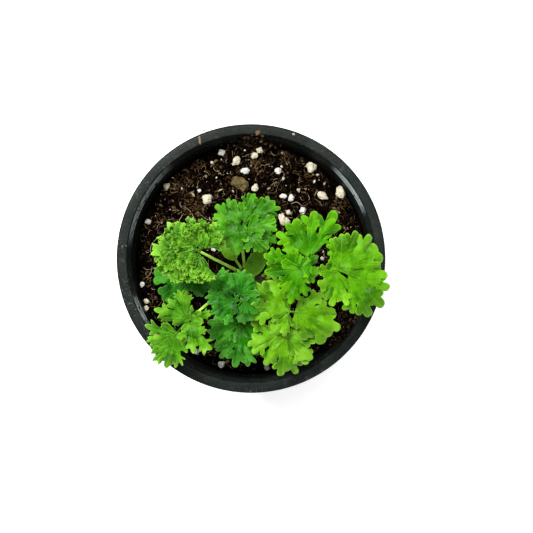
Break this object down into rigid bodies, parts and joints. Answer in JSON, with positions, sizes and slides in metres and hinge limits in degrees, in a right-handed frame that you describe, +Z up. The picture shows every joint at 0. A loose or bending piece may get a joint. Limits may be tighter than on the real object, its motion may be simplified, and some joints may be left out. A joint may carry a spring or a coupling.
{
  "type": "potted parsley",
  "caption": "Young curly parsley with lobed, toothed leaves on slender stalks, growing in a round tapered nursery pot filled with potting soil and perlite.",
  "frame": {"origin": "middle of the flat underside of the pot, on the surface the pot stands on", "axes": "+Z up along the pot's axis; +Y towards the bare side of the soil, away from most of the leaves; +X to the right, towards the largest overhanging leaf"},
  "size_m": [0.104, 0.104, 0.1199],
  "materials": {
    "pot_plastic": "satin",
    "potting_soil": "matte",
    "perlite": "matte",
    "bark": "matte",
    "crown": "matte",
    "stalk": "satin",
    "leaf": "satin",
    "seed_leaf": "satin"
  },
  "bodies": {
    "root": {"bark_chip": "bark", "crown_left": "crown", "crown_right": "crown", "leaf_a": "leaf", "leaf_b": "leaf", "leaf_c": "leaf", "leaf_d": "leaf", "leaf_e": "leaf", "leaf_f": "leaf", "leaf_g": "leaf", "leaf_h": "leaf", "leaf_j": "leaf", "leaf_k": "leaf", "new_shoot": "stalk", "perlite_01": "perlite", "perlite_02": "perlite", "perlite_03": "perlite", "perlite_04": "perlite", "perlite_05": "perlite", "perlite_06": "perlite", "perlite_07": "perlite", "perlite_08": "perlite", "perlite_09": "perlite", "perlite_10": "perlite", "perlite_11": "perlite", "perlite_12": "perlite", "perlite_13": "perlite", "perlite_14": "perlite", "perlite_15": "perlite", "perlite_16": "perlite", "perlite_17": "perlite", "perlite_18": "perlite", "pot": "pot_plastic", "seed_leaf_1": "seed_leaf", "seed_leaf_2": "seed_leaf", "seed_leaf_3": "seed_leaf", "seed_leaf_stalk_1": "stalk", "seed_leaf_stalk_2": "stalk", "seed_leaf_stalk_3": "stalk", "soil": "potting_soil", "stalk_a": "stalk", "stalk_b": "stalk", "stalk_c": "stalk", "stalk_d": "stalk", "stalk_e": "stalk", "stalk_f": "stalk", "stalk_g": "stalk", "stalk_h": "stalk", "stalk_j": "stalk", "stalk_k": "stalk"}
  },
  "joints": []
}
